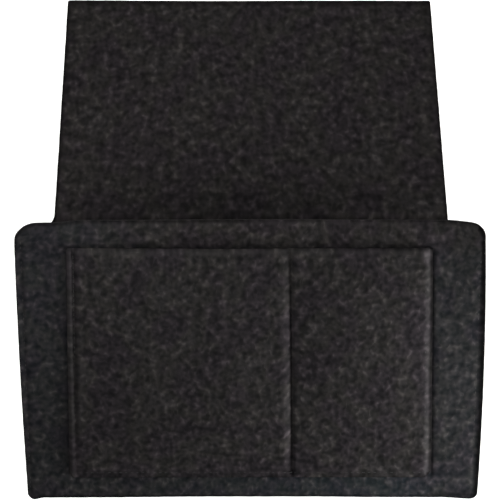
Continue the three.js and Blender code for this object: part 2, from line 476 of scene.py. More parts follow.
def felt_cut_material(name):
    material, tree = new_material(name)
    place = add(tree, "TexCoord").outputs["Object"]
    grain = add(
        tree,
        "TexNoise",
        links={"Vector": place, "Scale": 1 / CUT_GRAIN, "Detail": 2.0, "Roughness": 0.6, "Distortion": 0.5},
    )
    shade = add(tree, "ValToRGB", links={"Fac": grain.outputs["Fac"]})
    shades(shade, [(0.25, "#121111"), (0.5, "#181717"), (0.75, "#242222")])
    dryness = add(
        tree,
        "MapRange",
        links={"Value": grain.outputs["Fac"], "From Min": 0.25, "From Max": 0.75, "To Min": 0.8, "To Max": 0.95},
    )
    bump = add(tree, "Bump", links={"Strength": 1.0, "Distance": CUT_GRAIN_HEIGHT, "Height": grain.outputs["Fac"]})
    shader = add(
        tree,
        "BsdfPrincipled",
        links={
            "Base Color": shade.outputs["Color"],
            "Roughness": dryness.outputs["Result"],
            "IOR": 1.5,
            "Specular IOR Level": 0.015,
            "Normal": bump.outputs["Normal"],
        },
    )
    add(tree, "OutputMaterial", links={"Surface": shader.outputs["BSDF"]})
    return material


# Spun polyester sewing thread, plies twisted together: near black, with a soft sheen across each ply. Its lint
# is too fine to show, so it is drawn about 0.5 mm wide.
LINT = 0.5 * MM
LINT_HEIGHT = 0.1 * MM


def thread_material(name):
    material, tree = new_material(name)
    place = add(tree, "TexCoord").outputs["Object"]
    lint = add(tree, "TexNoise", links={"Vector": place, "Scale": 1 / LINT, "Detail": 2.0})
    shade = add(tree, "ValToRGB", links={"Fac": lint.outputs["Fac"]})
    shades(shade, [(0.3, "#131212"), (0.7, "#201f1f")])
    dull = add(
        tree,
        "MapRange",
        links={"Value": lint.outputs["Fac"], "From Min": 0.3, "From Max": 0.7, "To Min": 0.6, "To Max": 0.8},
    )
    bump = add(tree, "Bump", links={"Strength": 0.5, "Distance": LINT_HEIGHT, "Height": lint.outputs["Fac"]})
    shader = add(
        tree,
        "BsdfPrincipled",
        links={
            "Base Color": shade.outputs["Color"],
            "Roughness": dull.outputs["Result"],
            "IOR": 1.5,
            "Specular IOR Level": 0.2,
            "Sheen Weight": 0.05,
            "Normal": bump.outputs["Normal"],
        },
    )
    add(tree, "OutputMaterial", links={"Surface": shader.outputs["BSDF"]})
    return material


felt_face = felt_face_material("charcoal_needle_felt")
felt_cut = felt_cut_material("darker_cut_edge_of_the_felt")
thread_black = thread_material("spun_polyester_thread")


# Flap and back panel: one T-shaped sheet, cut flat, bent down over the fold and eased forward to the front
# panel at its sides and bottom

FOLD_RADIUS = 4 * MM  # of the middle of the felt
FOLD_LINES = 11  # grid lines round the fold
CLEAR_BEFORE_FOLD = 1 * MM  # with no other grid line so near
CLEAR_AFTER_FOLD = 0.4 * MM
FLAP_MIDDLE_Z = flap_high.z / 2
BACK_MIDDLE_Y = back_high.y - FELT / 2
FOLD_Y = BACK_MIDDLE_Y + FOLD_RADIUS
FOLD_Z = FLAP_MIDDLE_Z - FOLD_RADIUS
FOLD_START = flap_high.y - FOLD_Y  # along the sheet, from the far edge of the flap
FOLD_END = FOLD_START + FOLD_RADIUS * math.pi / 2
SHOULDER = FOLD_END + FOLD_Z - back_high.z
SHEET_END = FOLD_END + FOLD_Z - panel_low.z
FLAP_HALF = flap_high.x
FLAP_SKEW = 1.25 * MM  # how far the flap's far edge lies to the left
FLAP_WAVE = 0.3 * MM  # how unevenly the flap lies, away from the fold
FLAP_WAVE_START = 60 * MM
WAVE_ACROSS = 46 * MM  # lengths for one radian
WAVE_ALONG = 58 * MM
WAVE_ASLANT = 31 * MM
WAVE_SLANT = 0.7
WAVE_SHIFT = 0.6
FILLETS = (8 * MM, 5 * MM)  # inside the left and the right shoulder
FILLET_FADE = 14 * MM
SHOULDER_CORNER = 4 * MM
SHOULDER_SLOPE = 5 * MM  # fall of the shoulders to the sides, behind the front panel's round corners
SLOPE_START = PANEL_HALF - 12 * MM
SLOPE_END = PANEL_HALF + 2 * MM
SLOPE_FADE = 60 * MM  # down the back
SEWN_BACK_Y = panel_high.y + SEATED + FELT / 2
SEAM_MARGIN = 8 * MM
SIDE_EASE = 18 * MM
BOTTOM_EASE = 24 * MM
BACK_GROOVE = 0.7 * MM
SEAMS = ("left_side", "right_side", "bottom")

# The flap gets painted shade by the fold, most at the middle, and is darker along its cut edges
PAINTED_FOLD_SHADE = 0.56
FOLD_SHADE_TO_RIGHT = 0.18  # share of it that is lost to the right and gained to the left
FOLD_SHADE_TO_SIDES = 0.66  # share of it that is lost to both sides
FOLD_SHADE_WIDTH = 16 * MM
FOLD_SHADE_FADE = 50 * MM
FLAP_SIDES_DARKENED = 0.9
FLAP_SIDES_WIDTHS = (2.6 * MM, 2.1 * MM)  # left and right
FLAP_END_DARKENED = 0.7
FLAP_END_AT = 4 * MM
FLAP_END_WIDTH = 3 * MM
BACK_SEAMS_PRESSED = 0.5
BACK_EDGE_DARKENED = 0.6
BACK_EDGE_WIDTH = 1 * MM


def hanging_sheet():
    across = grid_lines(
        -PANEL_HALF,
        PANEL_HALF,
        edges=[(-PANEL_HALF, 1), (PANEL_HALF, -1), (-FLAP_HALF, 1), (FLAP_HALF, -1)],
        rows=[LINES["left_side"][0][0], LINES["right_side"][0][0]],
        coarse=COARSE_ON_BACK,
    )
    along = grid_lines(
        0,
        SHEET_END,
        edges=[(0, 1), (SHOULDER, 1), (SHEET_END, -1)],
        rows=[SHEET_END - (LINES["bottom"][0][1] - panel_low.z)],
        coarse=COARSE_ON_BACK,
    )
    bend = np.linspace(FOLD_START, FOLD_END, FOLD_LINES)
    clear = (along < FOLD_START - CLEAR_BEFORE_FOLD) | (along > FOLD_END + CLEAR_AFTER_FOLD)
    along = np.array(sorted({*along[clear], *bend}))
    felt = flat_felt("flap_and_back_sheet", across, along)
    at = read_points(felt.data)
    cut_away(felt, (np.abs(at[:, 0]) > FLAP_HALF + HAIR) & (at[:, 1] < SHOULDER - HAIR))

    flat = read_points(felt.data)
    side = np.sign(flat[:, 0])
    reach = np.abs(flat[:, 0])
    down = flat[:, 1]
    from_inner = np.maximum(FLAP_HALF - reach, down - SHOULDER)
    from_edge = np.minimum.reduce([from_inner, PANEL_HALF - reach, down, SHEET_END - down])

    # Corners and shoulders
    far_side, far_end = rounded(FLAP_HALF - reach, down, FLAP_CORNER)
    low_corner = np.where(side < 0, *BOTTOM_CORNERS)
    low_side, low_end = rounded(PANEL_HALF - reach, SHEET_END - down, low_corner)
    high_side, high_end = rounded(PANEL_HALF - reach, down - SHOULDER, SHOULDER_CORNER)
    fillet = np.where(side < 0, *FILLETS)
    over_side, over_end = filleted(reach - FLAP_HALF, SHOULDER - down, fillet, FILLET_FADE)
    by_far = down < 4 * FLAP_CORNER
    by_low = SHEET_END - down < 2 * low_corner
    by_high = (PANEL_HALF - reach < 2 * SHOULDER_CORNER) & ~by_low
    reach = np.select(
        [by_far, by_low, by_high],
        [FLAP_HALF - far_side, PANEL_HALF - low_side, PANEL_HALF - high_side],
        FLAP_HALF + over_side,
    )
    down = np.select(
        [by_far, by_low, by_high],
        [far_end, SHEET_END - low_end, SHOULDER + high_end],
        SHOULDER - over_end,
    )
    sloped = eased(reach, SLOPE_START, SLOPE_END) * (1 - eased(down - SHOULDER, 0, SLOPE_FADE))
    down = down + SHOULDER_SLOPE * sloped

    # Bent over the fold
    turned = np.clip((down - FOLD_START) / FOLD_RADIUS, 0, math.pi / 2)
    before = np.maximum(FOLD_START - down, 0)
    after = np.maximum(down - FOLD_END, 0)
    y = FOLD_Y + before - FOLD_RADIUS * np.sin(turned)
    z = FOLD_Z - after + FOLD_RADIUS * np.cos(turned)
    hangs = down > FOLD_END
    x = np.where(hangs, panel_x(side, reach, z), side * reach - FLAP_SKEW * before / FOLD_START)

    # Eased forward to the seams
    from_side = eased(PANEL_HALF - reach, SEAM_MARGIN, SEAM_MARGIN + SIDE_EASE)
    from_bottom = eased(z - panel_low.z, SEAM_MARGIN, SEAM_MARGIN + BOTTOM_EASE)
    y = np.where(hangs, SEWN_BACK_Y + (y - SEWN_BACK_Y) * from_side * from_bottom, y)

    # Lies a little unevenly, and is pulled in by the seams from behind
    on_flap = eased(before, 0, FLAP_WAVE_START)
    square = np.sin(x / WAVE_ACROSS + WAVE_SHIFT) * np.sin(y / WAVE_ALONG)
    aslant = np.sin((x + WAVE_SLANT * y) / WAVE_ASLANT)
    z += on_flap * FLAP_WAVE * (square + aslant)
    stitched = np.where(hangs, np.minimum(sum(beside_row(x, z, row) for row in SEAMS), 1), 0)
    y -= stitched * (BACK_GROOVE - GROOVE_REAR) / 2
    write_points(felt, x, y, z)
    share = edge_share(from_edge) - stitched * (BACK_GROOVE + GROOVE_REAR) / FELT

    # Nap, with painted shade
    # Painted shade on the flap behind the front panel's lip, most at the middle, fading away from the fold
    aside = x / FLAP_HALF
    faded = np.exp(-np.maximum(before - FOLD_SHADE_WIDTH, 0) / FOLD_SHADE_FADE)
    painted_fold_shade = PAINTED_FOLD_SHADE * (1 - FOLD_SHADE_TO_RIGHT * aside - FOLD_SHADE_TO_SIDES * aside ** 2) * faded
    # Darker strips along the flap's sides and far end, and along the back's cut edges
    flap_side = FLAP_HALF - np.abs(flat[:, 0])
    dark_sides = FLAP_SIDES_DARKENED * near(flap_side, np.where(side < 0, *FLAP_SIDES_WIDTHS))
    dark_end = FLAP_END_DARKENED * near(flat[:, 1] - FLAP_END_AT, FLAP_END_WIDTH)
    on_top = np.where(hangs, 0, np.maximum.reduce([painted_fold_shade, dark_sides, dark_end]))
    seamed = BACK_SEAMS_PRESSED * stitched ** 2
    dark_edge = BACK_EDGE_DARKENED * near(from_edge, BACK_EDGE_WIDTH)
    pressed = np.maximum.reduce([on_top, seamed, dark_edge])
    lay_at_fold = LAY_ALONG_FLAP * FOLD_END
    lay_at_end = lay_at_fold + LAY_DOWN * (SHEET_END - FOLD_END)
    lay_y = np.interp(flat[:, 1], [0, FOLD_END, SHEET_END], [0, lay_at_fold, lay_at_end])
    none = np.zeros(len(flat))
    thicken(felt, share, (flat[:, 0], lay_y, none), pressed=pressed, worn=none, cool=none)
    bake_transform(felt)
    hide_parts("insert_flap", "back_panel")


# Front panel: a flat sheet with two round top corners, sewn to the back at its sides and bottom

LEFT_FLARE = 3 * MM  # how far the left side of the patch runs out from its top to its bottom
RIGHT_FLARE = 4 * MM
PATCH_LEFT = patch_low.x + LEFT_FLARE  # at the top
PATCH_RIGHT = patch_high.x - RIGHT_FLARE
PATCH_HEIGHT = patch_high.z - patch_low.z
DIVIDER = row_x("pocket_divider", patch_high.z)
DIVIDER_LEAN = row_x("pocket_divider", patch_low.z) - DIVIDER
PANEL_FRONT_Y = panel_low.y
PANEL_REAR_Y = panel_high.y
LIP_ROLL = 4 * MM  # strip along the lip that rolls back
LIP_TUCK = 0.9 * MM

# The patch's seams pull dents into the panel along the patch's sides and bottom
BESIDE_PATCH = 2 * MM  # strip over which a dent begins or ends
DENTS = (0.9 * MM, 0.7 * MM)  # at the left and the right side
DENT_WIDTHS = (2.0 * MM, 1.6 * MM)
BOTTOM_DENT = 0.25 * MM
BOTTOM_DENT_WIDTH = 1.6 * MM
DENT_AT_REAR = 0.3  # share of a dent that shows there

# The lip waves, and the lip and the hem droop to the sides. A droop is (depth, start, end), from the middle
# outwards, and the left side's come first.
LIP_BAND = 40 * MM
LIP_WAVE = 0.35 * MM
LIP_WAVE_LENGTH = 35 * MM  # for one radian
LIP_WAVE_SHIFT = 1.1
LIP_DROOPS = (
    [(2.4 * MM, 112 * MM, 138 * MM)],
    [(0.3 * MM, 115 * MM, 135 * MM), (1.9 * MM, 134 * MM, 152 * MM)],
)
HEM_BAND = 30 * MM
HEM_RISE = 0.4 * MM  # at the middle
HEM_DROOPS = (
    [(0.7 * MM, 30 * MM, 115 * MM), (2.2 * MM, 146 * MM, 158 * MM)],
    [(0.7 * MM, 30 * MM, 115 * MM), (1.5 * MM, 134 * MM, 157 * MM)],
)

# The panel is darker in strips along its cut edges. What changes across it is given as places and the
# values there, and what changes between two heights as a value low down and one higher up.
PANEL_HEIGHTS = (-200 * MM, -50 * MM)
RIGHT_STRIP = (3.0 * MM, 3.6 * MM)
LEFT_STRIP = 3.5 * MM
LEFT_DARKENED = (0.2, 0)
CORNER_STRIP = 2.2 * MM  # round the top left corner
CORNER_DARKENED = 0.6
CORNER_HEIGHTS = (-25 * MM, -12 * MM)
BOTTOM_STRIP = ((120 * MM, 150 * MM), (2.7 * MM, 8 * MM))
BOTTOM_DARKENED = ((-20 * MM, 20 * MM, 120 * MM, 150 * MM), (0.55, 0.4, 0.4, 0.65))
TOP_STRIP = 1.4 * MM
TOP_DARKENED = ((-50 * MM, 50 * MM), (0.28, 0.1))
TOP_ENDS_STRIP = 2.4 * MM
TOP_ENDS_DARKENED = 0.4
TOP_ENDS = (125 * MM, 140 * MM)  # from the middle

# Its nap is also pressed at the seams and by the short row of back stitches above the patch's left row.
# Painted shade darkens it beside and under the patch, just above the pockets, and at the top of its right margin
SEAMS_PRESSED = (0.1, 0.9)  # for each mm of groove
BESIDE_PATCH_SHADE = (0.25, 0.05)  # left and right
UNDER_PATCH_SHADE = 0.1
ABOVE_POCKETS_SHADE = (0.3, 0.05)  # left and right
ABOVE_POCKETS_AT = 0.8 * MM
ABOVE_POCKETS_WIDTH = 1.8 * MM
TACK_PRESSED = 0.3
TACK_WIDTH = 1.5 * MM
TACK_AT = 4 * MM  # above the mouth
TACK_LENGTH = 5 * MM  # half of it
UPPER_RIGHT_SHADE = 0.2
UPPER_RIGHT_SHADE_FROM_MIDDLE = (125 * MM, 145 * MM)
UPPER_RIGHT_SHADE_FROM_TOP = (45 * MM, 95 * MM)

# Painted highlight along its rolled lip, but not at the ends
LIP_HIGHLIGHT = 0.12
LIP_HIGHLIGHT_AT = 2 * MM
LIP_HIGHLIGHT_WIDTH = 1.9 * MM
LIP_HIGHLIGHT_ENDS = (115 * MM, 135 * MM)  # from the middle

# Shares of a bluer tint
COOL_MARGINS = 0.42
COOL_LIP = ((-120 * MM, -60 * MM, 110 * MM, 130 * MM), (0.4, 0, 0, 0.12))
COOL_LIP_ABOVE = (patch_high.z - 12 * MM, patch_high.z + 6 * MM)
COOL_HEM = ((-90 * MM, 30 * MM, 110 * MM, 135 * MM), (0.4, 0.7, 0.9, 0.5))
COOL_HEM_BELOW = (patch_low.z - 4 * MM, patch_low.z + 6 * MM)


def patch_shift(x, z):
    """How far the patch's outline and rows have run sideways at the height z, by their place at its top."""
    run = np.interp(x, [PATCH_LEFT, DIVIDER, PATCH_RIGHT], [-LEFT_FLARE, DIVIDER_LEAN, RIGHT_FLARE])
    return run * (patch_high.z - z) / PATCH_HEIGHT


def rolled_off(inset, width):
    """1 at an edge, falling to 0 at a distance, as felt rolls over."""
    return 1 - np.sin(math.pi / 2 * np.clip(inset / width, 0, 1))


def drooped(x, left, right):
    """How far an edge of the panel hangs down at x, from the droops of its two sides."""
    by_side = [sum(depth * eased(np.abs(x), *span) for depth, *span in side) for side in (left, right)]
    return np.where(x < 0, *by_side)


def panel_edges_darkened(x, z, from_side, from_top, from_bottom):
    """How much darker the front panel is made in strips along its cut edges."""
    from_edge = np.minimum.reduce([from_side, from_top, from_bottom])
    right = near(from_side, np.interp(z, PANEL_HEIGHTS, RIGHT_STRIP), SHARP)
    left = np.interp(z, PANEL_HEIGHTS, LEFT_DARKENED) * near(from_side, LEFT_STRIP, SHARP)
    corner = CORNER_DARKENED * eased(z, *CORNER_HEIGHTS) * near(from_edge, CORNER_STRIP, SHARP)
    sides = np.where(x < 0, np.maximum(left, corner), right)
    bottom = np.interp(x, *BOTTOM_DARKENED) * near(from_bottom, np.interp(x, *BOTTOM_STRIP), SHARP)
    top = np.interp(x, *TOP_DARKENED) * near(from_top, TOP_STRIP)
    top_ends = TOP_ENDS_DARKENED * eased(np.abs(x), *TOP_ENDS) * near(from_top, TOP_ENDS_STRIP)
    return np.maximum.reduce([sides, bottom, top + top_ends])


def panel_cool(x, z):
    """Share of a bluer tint in the front panel: more in its margins and its hem than along its lip."""
    at_lip = eased(z, *COOL_LIP_ABOVE)
    at_hem = 1 - eased(z, *COOL_HEM_BELOW)
    margins = COOL_MARGINS * (1 - at_lip - at_hem)
    return margins + np.interp(x, *COOL_LIP) * at_lip + np.interp(x, *COOL_HEM) * at_hem


def front_sheet():
    across = grid_lines(
        -PANEL_HALF,
        PANEL_HALF,
        edges=[(-PANEL_HALF, 1), (PANEL_HALF, -1)],
        rows=[LINES["left_side"][0][0], LINES["right_side"][0][0], row_x("pocket_left", patch_high.z)],
        bands=[
            (patch_low.x - BESIDE_PATCH, PATCH_LEFT + BESIDE_PATCH),
            (PATCH_RIGHT - BESIDE_PATCH, patch_high.x + BESIDE_PATCH),
        ],
    )
    along = grid_lines(
        panel_low.z,
        panel_high.z,
        edges=[(panel_low.z, 1), (panel_high.z, -1)],
        rows=[LINES["bottom"][0][1], patch_low.z, patch_high.z],
    )
    felt = flat_felt("front_panel_sheet", across, along)
    flat = read_points(felt.data)
    side = np.sign(flat[:, 0])
    from_side = PANEL_HALF - np.abs(flat[:, 0])
    from_top = panel_high.z - flat[:, 1]
    from_bottom = flat[:, 1] - panel_low.z
    from_edge = np.minimum.reduce([from_side, from_top, from_bottom])
    top_side, top_end = rounded(from_side, from_top, np.where(side < 0, *TOP_CORNERS))
    low_side, low_end = rounded(from_side, from_bottom, np.where(side < 0, *BOTTOM_CORNERS))
    upper = from_top < from_bottom
    reach = PANEL_HALF - np.where(upper, top_side, low_side)
    z = np.where(upper, panel_high.z - top_end, panel_low.z + low_end)
    x = panel_x(side, reach, z)

    # Pulled in along the seams and along the edge of the patch
    stitched = sum(beside_row(x, z, row) * GROOVES[row] for row in SEAMS)
    top_x = x - patch_shift(x, z)
    below_mouth = 1 - eased(z, patch_high.z - BESIDE_PATCH, patch_high.z + BESIDE_PATCH)
    above_bottom = eased(z, patch_low.z - BESIDE_PATCH, patch_low.z + BESIDE_PATCH)
    from_patch = np.minimum(top_x - PATCH_LEFT, PATCH_RIGHT - top_x)
    beside_patch = near(from_patch, np.where(x < 0, *DENT_WIDTHS)) * below_mouth * above_bottom
    in_line = eased(from_patch, -BESIDE_PATCH, BESIDE_PATCH)
    under_patch = near(z - patch_low.z, BOTTOM_DENT_WIDTH) * in_line
    dents = np.where(x < 0, *DENTS) * beside_patch
    pulled = np.maximum.reduce([stitched, dents, BOTTOM_DENT * under_patch])
    front = PANEL_FRONT_Y + pulled + LIP_TUCK * rolled_off(from_top, LIP_ROLL)
    rear = PANEL_REAR_Y + DENT_AT_REAR * pulled

    # Hangs a little unevenly
    near_top = eased(z, panel_high.z - LIP_BAND, panel_high.z)
    near_bottom = eased(-z, -panel_low.z - HEM_BAND, -panel_low.z)
    wave = near_top * LIP_WAVE * np.sin(x / LIP_WAVE_LENGTH + LIP_WAVE_SHIFT)
    z -= near_top * drooped(x, *LIP_DROOPS) + near_bottom * (drooped(x, *HEM_DROOPS) - HEM_RISE)
    write_points(felt, x, (front + rear) / 2 + wave, z)
    share = edge_share(from_edge) * (rear - front) / FELT

    # Nap, with painted shade and painted highlight
    edges_darkened = panel_edges_darkened(x, z, from_side, from_top, from_bottom)
    seamed = np.interp(z, PANEL_HEIGHTS, SEAMS_PRESSED) * stitched / MM
    # Painted shade in the crevices beside and under the patch
    painted_crevice_shade = np.where(x < 0, *BESIDE_PATCH_SHADE) * beside_patch
    painted_crevice_shade = np.maximum(painted_crevice_shade, UNDER_PATCH_SHADE * under_patch)
    above = z - patch_high.z
    # Painted shade on the panel just above the pocket mouths, more over the left pocket
    painted_shade_above_mouths = np.where(x < DIVIDER, *ABOVE_POCKETS_SHADE) * near(above - ABOVE_POCKETS_AT, ABOVE_POCKETS_WIDTH)
    tacked = TACK_PRESSED * near(x - row_x("pocket_left", z), TACK_WIDTH)
    tacked = tacked * near(above - TACK_AT, TACK_LENGTH, SHARP)
    # Painted shade on the top of the panel's right margin
    painted_upper_right_shade = UPPER_RIGHT_SHADE * eased(x, *UPPER_RIGHT_SHADE_FROM_MIDDLE) * (1 - eased(from_top, *UPPER_RIGHT_SHADE_FROM_TOP))
    pressed = np.maximum.reduce([edges_darkened, seamed, painted_crevice_shade, painted_shade_above_mouths, tacked, painted_upper_right_shade])
    # Painted highlight along the rolled lip
    worn = LIP_HIGHLIGHT * near(from_top - LIP_HIGHLIGHT_AT, LIP_HIGHLIGHT_WIDTH) * (1 - eased(np.abs(x), *LIP_HIGHLIGHT_ENDS))
    face_forward(felt)
    lay = (flat[:, 0], LAY_DOWN * flat[:, 1], np.zeros(len(flat)))
    thicken(felt, share, lay, pressed=pressed, worn=worn, cool=panel_cool(x, z))
    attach(felt, "pouch")
    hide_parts("front_panel")


# Patch: sewn down at its sides, its bottom and the divider row. Each pocket stands a little off the panel.

PATCH_REAR_Y = PANEL_FRONT_Y - SEATED
POCKET_LIFTS = (2.2 * MM, 2.8 * MM)  # left and right
POCKET_RISES = (45 * MM, 110 * MM)  # height over the bottom row at which a pocket is full
MOUTH_LIFT = 0.7 * MM
MOUTH_BAND = 45 * MM
LEFT_POCKET_FULL = 0.45  # share of the left pocket's width, from its left, at which it is full
CREST = 1.2 * MM  # the left pocket stands off this much more along an upright crest
CREST_X = -14.7 * MM
CREST_WIDTH = 22 * MM
CREST_SHARES = (1, 0.4)  # low down and higher up
SIDE_ROLLS = (2.2 * MM, 6.5 * MM)  # strips along the sewn sides that roll down to the panel
ROLLED_EDGE = 0.8 * MM  # thickness left at that edge
BOTTOM_ROLL = 11 * MM
BOTTOM_SHARE = 0.3  # of the full roll, along the bottom
MOUTH_ROLL = 5 * MM
MOUTH_TUCK = 1.2 * MM
ROW_TO_MOUTH = patch_high.z - LINES["pocket_divider"][1][1]
PATCH_HEIGHTS = (-200 * MM, -30 * MM)  # between which its grooves and its nap change
LEFT_GROOVE_WIDTH = 1.6 * MM
LEFT_GROOVE_SHARES = (0.45, 1.45)  # low down and higher up
DIVIDER_WIDTH_ON_LEFT = 3.7 * MM
DIVIDER_WIDTHS_ON_RIGHT = (0.85 * MM, 1.25 * MM)  # low down and higher up

# Painted shade darkens it along its sewn edges, where it meets the panel. Its nap is pressed in its grooves
# and beside its left row where that pulls the felt. Pairs are for low down and higher up.
PATCH_LEFT_STRIP = 0.6 * MM
PATCH_LEFT_SHADE = 0.4
PATCH_RIGHT_STRIPS = (2.45 * MM, 1.9 * MM)
PATCH_RIGHT_SHADE = 0.8
PATCH_BOTTOM_STRIP = 0.6 * MM
PATCH_BOTTOM_SHADE = 0.4
GROOVE_PRESSED = 0.03  # in a groove 1 mm deep, and more with the square of the depth
LEFT_ROW_PRESSED = (0, 0.45)
LEFT_ROW_AT = 1.3 * MM
LEFT_ROW_STRIP = 1 * MM

# Painted highlights along its rolled edges and beside the divider, brightest at its right corners
LEFT_HIGHLIGHT = (0.057, 0.19)
LEFT_HIGHLIGHT_AT = 2.2 * MM
LEFT_HIGHLIGHT_WIDTH = 1.3 * MM
MOUTH_HIGHLIGHT = 0.19
MOUTH_HIGHLIGHT_AT = 2 * MM
MOUTH_HIGHLIGHT_WIDTH = 1.7 * MM
RIGHT_HIGHLIGHT = 0.3
RIGHT_HIGHLIGHT_AT = (3.7 * MM, 3.3 * MM)
RIGHT_HIGHLIGHT_WIDTH = 1.6 * MM
RIGHT_HIGHLIGHT_END = 4 * MM  # from the bottom
DIVIDER_HIGHLIGHT = 0.05
DIVIDER_HIGHLIGHT_AT = -3.6 * MM
DIVIDER_HIGHLIGHT_WIDTH = 1.2 * MM
TOP_CORNER_HIGHLIGHT = 0.75
TOP_CORNER_AT = (5 * MM, 4.5 * MM)  # from the right and from the mouth
TOP_CORNER_WIDTH = 2.6 * MM
LOW_CORNER_HIGHLIGHT = 0.17
LOW_CORNER_AT = (5 * MM, 5 * MM)  # from the right and from the bottom
LOW_CORNER_WIDTH = 4 * MM
PATCH_COOL = 0.07  # share of the bluer tint
PATCH_LAY_X = 0.37  # puts the patch's speckle at another place in the pattern than the panel's


def rolled_down(row):
    """How far the front of the patch has rolled down to the panel at a stitch row."""
    share = {
        "pocket_bottom": BOTTOM_SHARE * rolled_off(LINES["pocket_bottom"][0][1] - patch_low.z, BOTTOM_ROLL),
        "pocket_right": rolled_off(PATCH_RIGHT - row_x("pocket_right", patch_high.z), SIDE_ROLLS[1]),
    }
    return (FELT - ROLLED_EDGE) * share.get(row, 0)


def worn_spot(level, width, place, across, along):
    """A round painted highlight, by how far a point is from the spot's two edges."""
    return level * near(np.hypot(across - place[0], along - place[1]), width)


def patch_worn(z, from_left, from_right, from_top, from_bottom, from_divider):
    """How far painted highlights make the patch paler."""
    left = np.interp(z, PATCH_HEIGHTS, LEFT_HIGHLIGHT) * near(from_left - LEFT_HIGHLIGHT_AT, LEFT_HIGHLIGHT_WIDTH)
    mouth = MOUTH_HIGHLIGHT * near(from_top - MOUTH_HIGHLIGHT_AT, MOUTH_HIGHLIGHT_WIDTH)
    right = RIGHT_HIGHLIGHT * near(from_right - np.interp(z, PATCH_HEIGHTS, RIGHT_HIGHLIGHT_AT), RIGHT_HIGHLIGHT_WIDTH)
    right = right * eased(from_bottom, 0, RIGHT_HIGHLIGHT_END)
    divider = DIVIDER_HIGHLIGHT * near(from_divider - DIVIDER_HIGHLIGHT_AT, DIVIDER_HIGHLIGHT_WIDTH)
    top_corner = worn_spot(TOP_CORNER_HIGHLIGHT, TOP_CORNER_WIDTH, TOP_CORNER_AT, from_right, from_top)
    low_corner = worn_spot(LOW_CORNER_HIGHLIGHT, LOW_CORNER_WIDTH, LOW_CORNER_AT, from_right, from_bottom)
    return np.maximum.reduce([left, mouth, right, divider]) + top_corner + low_corner


